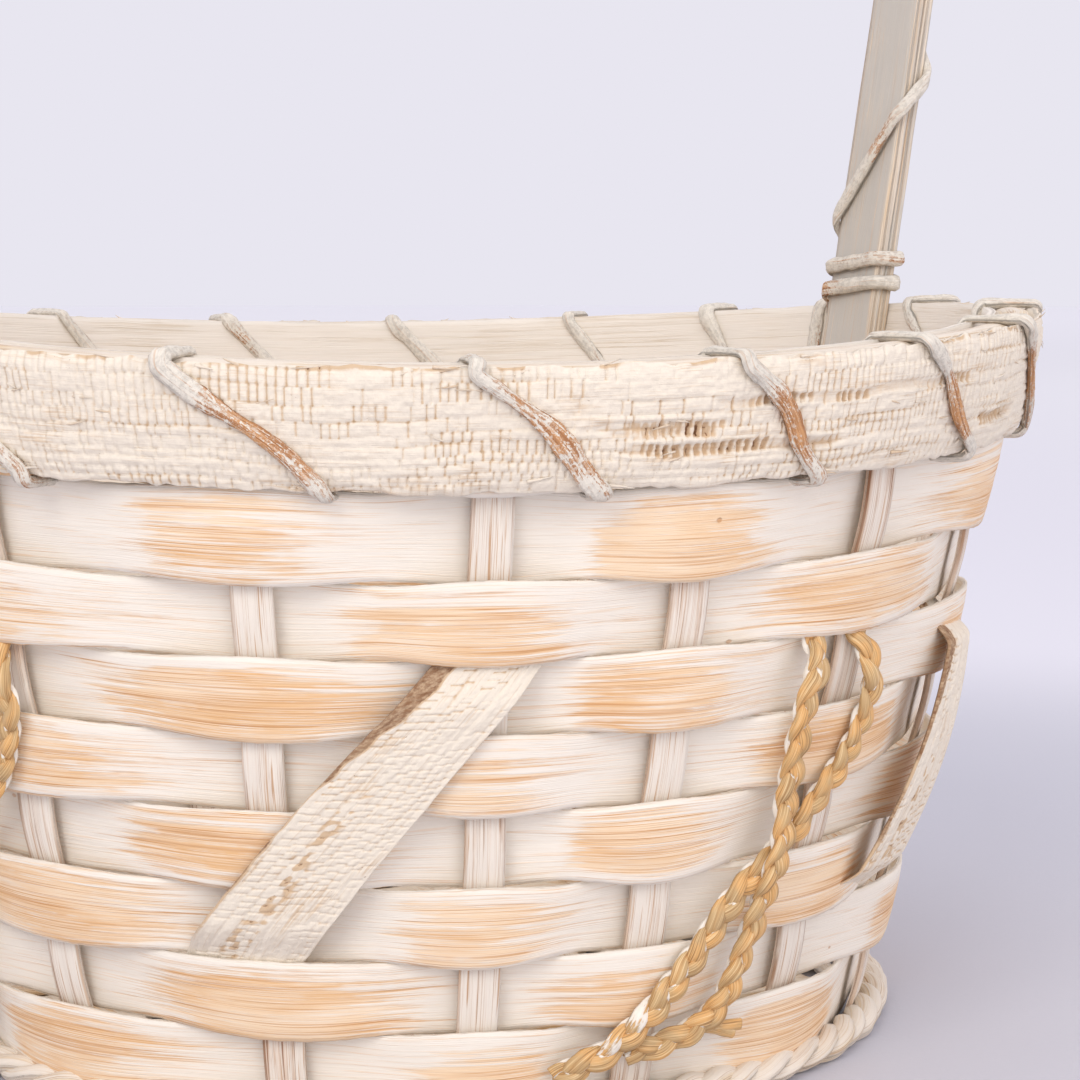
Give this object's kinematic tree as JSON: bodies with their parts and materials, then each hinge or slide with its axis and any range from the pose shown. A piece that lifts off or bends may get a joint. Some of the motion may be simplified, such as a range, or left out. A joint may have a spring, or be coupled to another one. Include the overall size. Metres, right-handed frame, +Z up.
{
  "type": "flower girl basket",
  "caption": "Round tapered basket of woven whitewashed splints with a bark-banded rim, fixed hoop handle, slanting bark strips and looped straw braids, for carrying petals.",
  "frame": {"origin": "middle of the flat underside of the foot ring, on the basket's centre line", "axes": "+Z up through the basket's mouth; the handle's hoop lies in the X-Z plane, so X runs from foot to foot and Y is across the handle; the side seen in front has its middle at about -Y with some -X"},
  "size_m": [0.2489, 0.2471, 0.3493],
  "materials": {
    "base_splint": "thin cream wash over split bamboo",
    "handle_splint": "thin grey-white wash over split bamboo",
    "inner_band": "thin grey-beige wash, smooth",
    "palm_bark": "cream paint over ridged cracked bark",
    "reed": "cream wash over round reed",
    "stake_splint": "thin white wash over split bamboo",
    "straw_braid": "bare straw with white paint in the crevices",
    "vine": "grey-white wash over brown vine",
    "weaver_splint": "cream paint rubbed through to bare tan splint"
  },
  "bodies": {
    "root": {"bark_strip_1": "palm_bark", "bark_strip_2": "palm_bark", "bark_strip_3": "palm_bark", "bark_strip_4": "palm_bark", "base_splint_x1": "base_splint", "base_splint_x2": "base_splint", "base_splint_x3": "base_splint", "base_splint_x4": "base_splint", "base_splint_x5": "base_splint", "base_splint_x6": "base_splint", "base_splint_x7": "base_splint", "base_splint_y1": "base_splint", "base_splint_y2": "base_splint", "base_splint_y3": "base_splint", "base_splint_y4": "base_splint", "base_splint_y5": "base_splint", "base_splint_y6": "base_splint", "base_splint_y7": "base_splint", "braid_loop_1": "straw_braid", "braid_loop_2": "straw_braid", "braid_loop_3": "straw_braid", "braid_loop_4": "straw_braid", "foot_ring_inner": "reed", "foot_ring_outer": "reed", "handle_coil_left": "vine", "handle_coil_right": "vine", "handle_inner_strip": "handle_splint", "handle_outer_strip": "handle_splint", "handle_spiral": "vine", "rim_filler": "reed", "rim_inner_band": "inner_band", "rim_lashing": "vine", "rim_outer_band": "palm_bark", "stake_01": "stake_splint", "stake_02": "stake_splint", "stake_03": "stake_splint", "stake_04": "stake_splint", "stake_05": "stake_splint", "stake_06": "stake_splint", "stake_07": "stake_splint", "stake_08": "stake_splint", "stake_09": "stake_splint", "stake_10": "stake_splint", "stake_11": "stake_splint", "stake_12": "stake_splint", "stake_13": "stake_splint", "stake_14": "stake_splint", "stake_15": "stake_splint", "stake_16": "stake_splint", "weaver_row_01": "weaver_splint", "weaver_row_02": "weaver_splint", "weaver_row_03": "weaver_splint", "weaver_row_04": "weaver_splint", "weaver_row_05": "weaver_splint", "weaver_row_06": "weaver_splint", "weaver_row_07": "weaver_splint", "weaver_row_08": "weaver_splint", "weaver_row_rim": "weaver_splint"}
  },
  "joints": []
}
